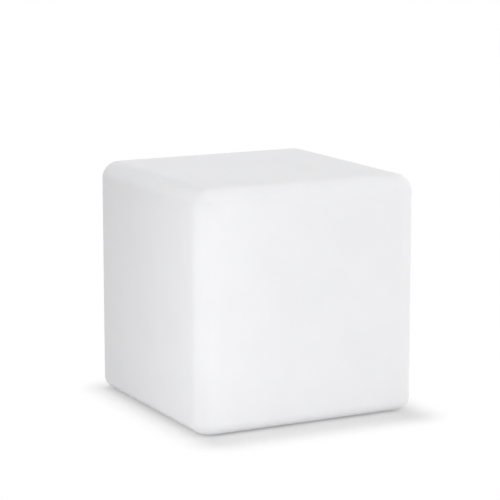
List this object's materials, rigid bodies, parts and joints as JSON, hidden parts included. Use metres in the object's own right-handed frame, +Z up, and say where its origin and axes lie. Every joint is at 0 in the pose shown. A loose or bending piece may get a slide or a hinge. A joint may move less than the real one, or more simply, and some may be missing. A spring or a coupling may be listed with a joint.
{
  "type": "cube floor lamp",
  "caption": "Cube floor light with rounded edges: a hollow translucent shell on feet, with a domed cordless light module that twists out of its base.",
  "frame": {"origin": "on the floor, under the centre of the cube", "axes": "+Z up, -Y out of the front face, +X to the right seen from the front"},
  "size_m": [0.4, 0.4, 0.4],
  "materials": {
    "shell_polyethylene": "translucent white, fine satin from the mould",
    "white_plastic": "white moulded plastic, fine texture",
    "grey_plastic": "mid grey moulded plastic, satin",
    "black_plastic": "black moulded plastic, satin",
    "frosted_plastic": "frosted diffuser plastic",
    "clear_plastic": "polished clear acrylic",
    "black_rubber": "matt black rubber",
    "grey_silicone": "soft grey silicone",
    "zinc_steel": "stainless fasteners, machined",
    "brass": "turned brass",
    "nickel": "rolled nickel strip",
    "aluminium": "stamped aluminium sheet",
    "board_green": "circuit board with solder mask",
    "board_white": "white solder mask on aluminium",
    "led_phosphor": "white LED bodies with yellow phosphor",
    "cell_sleeve": "heat-shrunk sleeve",
    "red_wire": "insulated wire",
    "white_wire": "insulated wire"
  },
  "bodies": {
    "lamp_shell": {"diffuser_shell": "shell_polyethylene", "threaded_inserts": "brass", "rubber_feet": "black_rubber", "ring_gasket": "black_rubber", "bayonet_ring": "white_plastic", "ring_screws": "zinc_steel"},
    "light_module": {"module_housing": "white_plastic", "module_seal": "black_rubber", "button_seal": "grey_silicone", "power_switch": "black_plastic", "charging_socket": "black_plastic", "charging_pin": "nickel", "port_cap_strap": "grey_silicone", "status_light_pipe": "clear_plastic", "control_board": "board_green", "board_components": "black_plastic", "battery_cradle": "black_plastic", "cradle_screws": "zinc_steel", "battery_cells": "cell_sleeve", "battery_tabs": "nickel", "battery_leads": "red_wire", "led_leads": "white_wire", "heat_spreader": "aluminium", "spreader_screws": "zinc_steel", "led_board": "board_white", "led_chips": "led_phosphor", "dome_gasket": "black_rubber", "light_dome": "frosted_plastic", "dome_screws": "zinc_steel"},
    "power_button": {"power_button": "grey_plastic", "switch_plunger": "white_plastic"},
    "port_cap": {"port_cap": "grey_silicone"}
  },
  "joints": [
    {"name": "module_twist", "type": "hinge", "parent": "lamp_shell", "child": "light_module", "pos_m": [0, 0, 0], "axis": [0, 0, -1], "range_deg": [0, 35]},
    {"name": "power_button_press", "type": "slide", "parent": "light_module", "child": "power_button", "axis": [0, 0, 1], "range_m": [0, 0.0015], "stiffness_N_per_m": 400, "springref_m": -0.001},
    {"name": "port_cap_hinge", "type": "hinge", "parent": "light_module", "child": "port_cap", "pos_m": [0.0112, 0.042, 0.01855], "axis": [0, -1, 0], "range_deg": [0, 120]}
  ]
}
